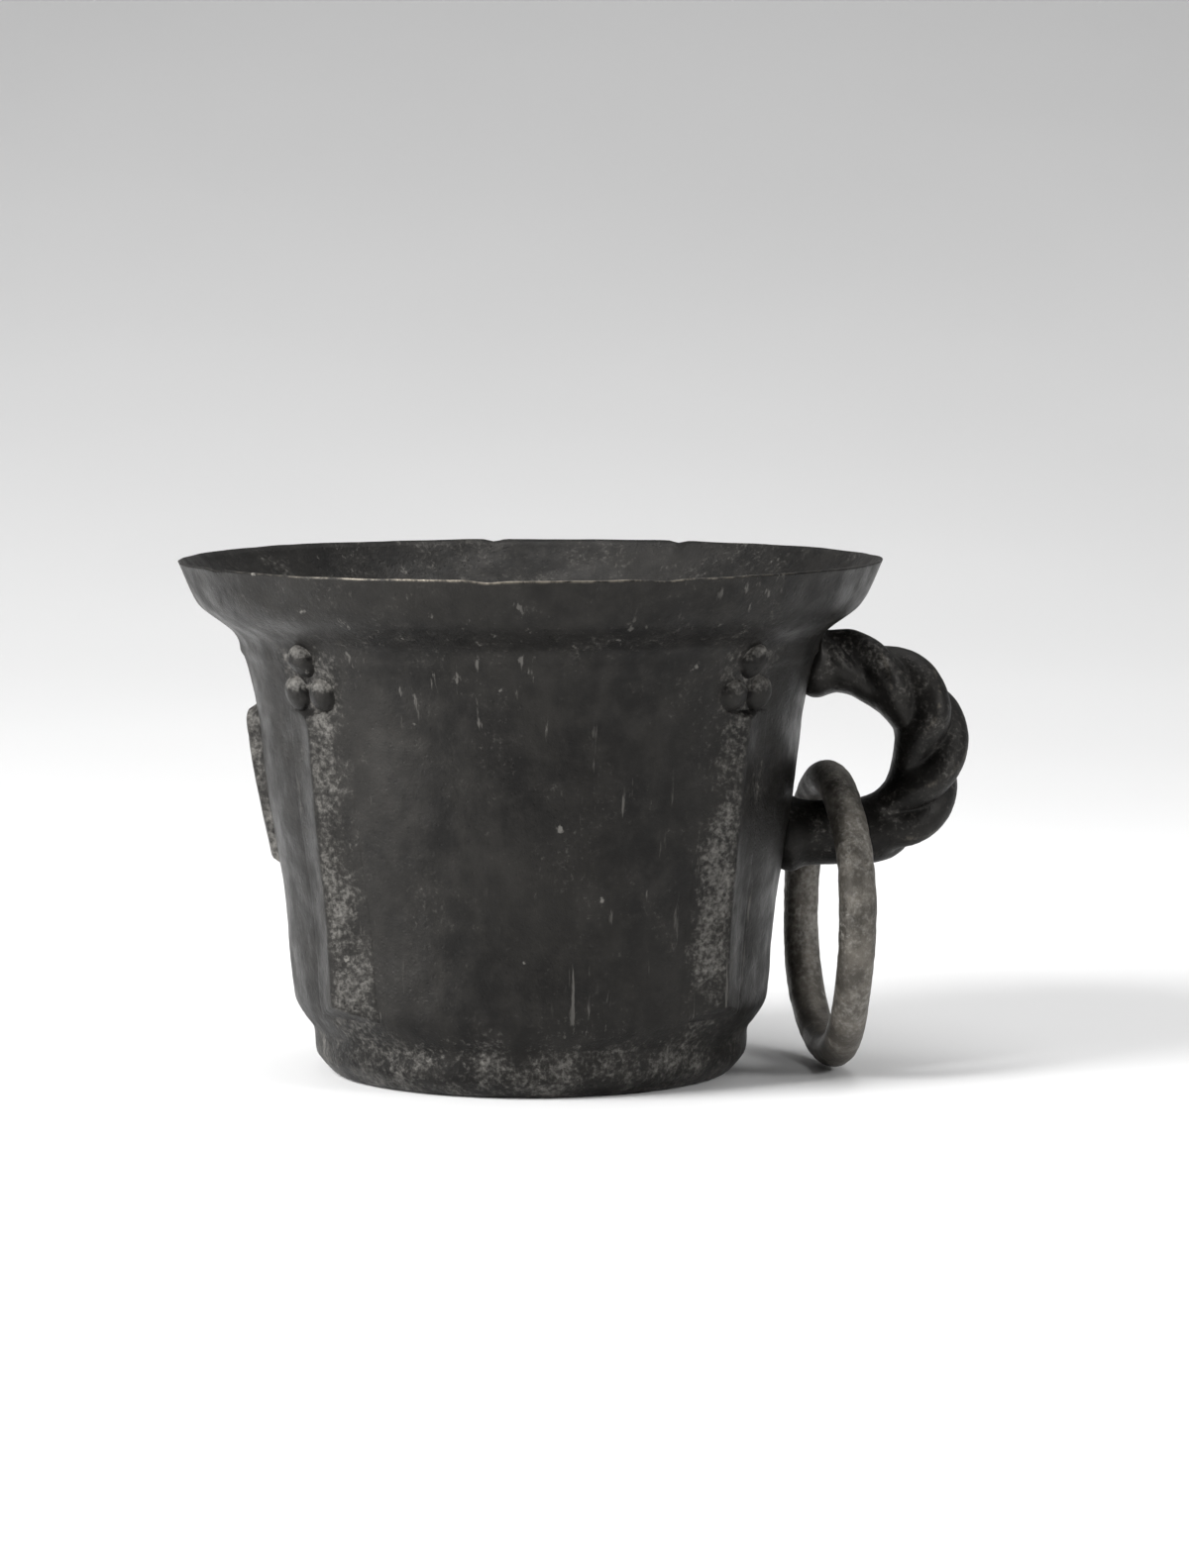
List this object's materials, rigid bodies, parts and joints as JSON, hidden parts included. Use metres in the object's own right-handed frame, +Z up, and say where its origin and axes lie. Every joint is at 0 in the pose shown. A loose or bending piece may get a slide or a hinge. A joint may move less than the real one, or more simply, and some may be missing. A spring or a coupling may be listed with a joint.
{
  "type": "bronze cup",
  "caption": "Heavy cast bronze cup of mortar form: flared lip, stepped foot, tapering ribs crowned by pellets, rope-twist handle and a loose hanging ring.",
  "frame": {"origin": "centre of the flat base, on the vessel's axis", "axes": "+Z up along the vessel's axis, +X towards the handle, -Y the front"},
  "size_m": [0.1572, 0.14, 0.102],
  "materials": {
    "cast_bronze": "dark patinated cast bronze with pale crust in the recesses",
    "ring_bronze": "patinated bronze bar, paler and mottled with crust"
  },
  "bodies": {
    "casting": {"vessel_body": "cast_bronze", "rib_front_left": "cast_bronze", "rib_front_right": "cast_bronze", "rib_back_left": "cast_bronze", "rib_back_right": "cast_bronze", "pellet_front_left_top": "cast_bronze", "pellet_front_left_a": "cast_bronze", "pellet_front_left_b": "cast_bronze", "pellet_front_right_top": "cast_bronze", "pellet_front_right_a": "cast_bronze", "pellet_front_right_b": "cast_bronze", "pellet_back_left_top": "cast_bronze", "pellet_back_left_a": "cast_bronze", "pellet_back_left_b": "cast_bronze", "pellet_back_right_top": "cast_bronze", "pellet_back_right_a": "cast_bronze", "pellet_back_right_b": "cast_bronze", "end_lug": "cast_bronze", "rope_handle": "cast_bronze"},
    "ring": {"hanging_ring": "ring_bronze"}
  },
  "joints": [
    {"name": "ring_swing", "type": "hinge", "parent": "casting", "child": "ring", "pos_m": [0.0594, 0, 0.0474], "axis": [0.9867, 0.1625, 0], "range_deg": [-85, 64]}
  ]
}
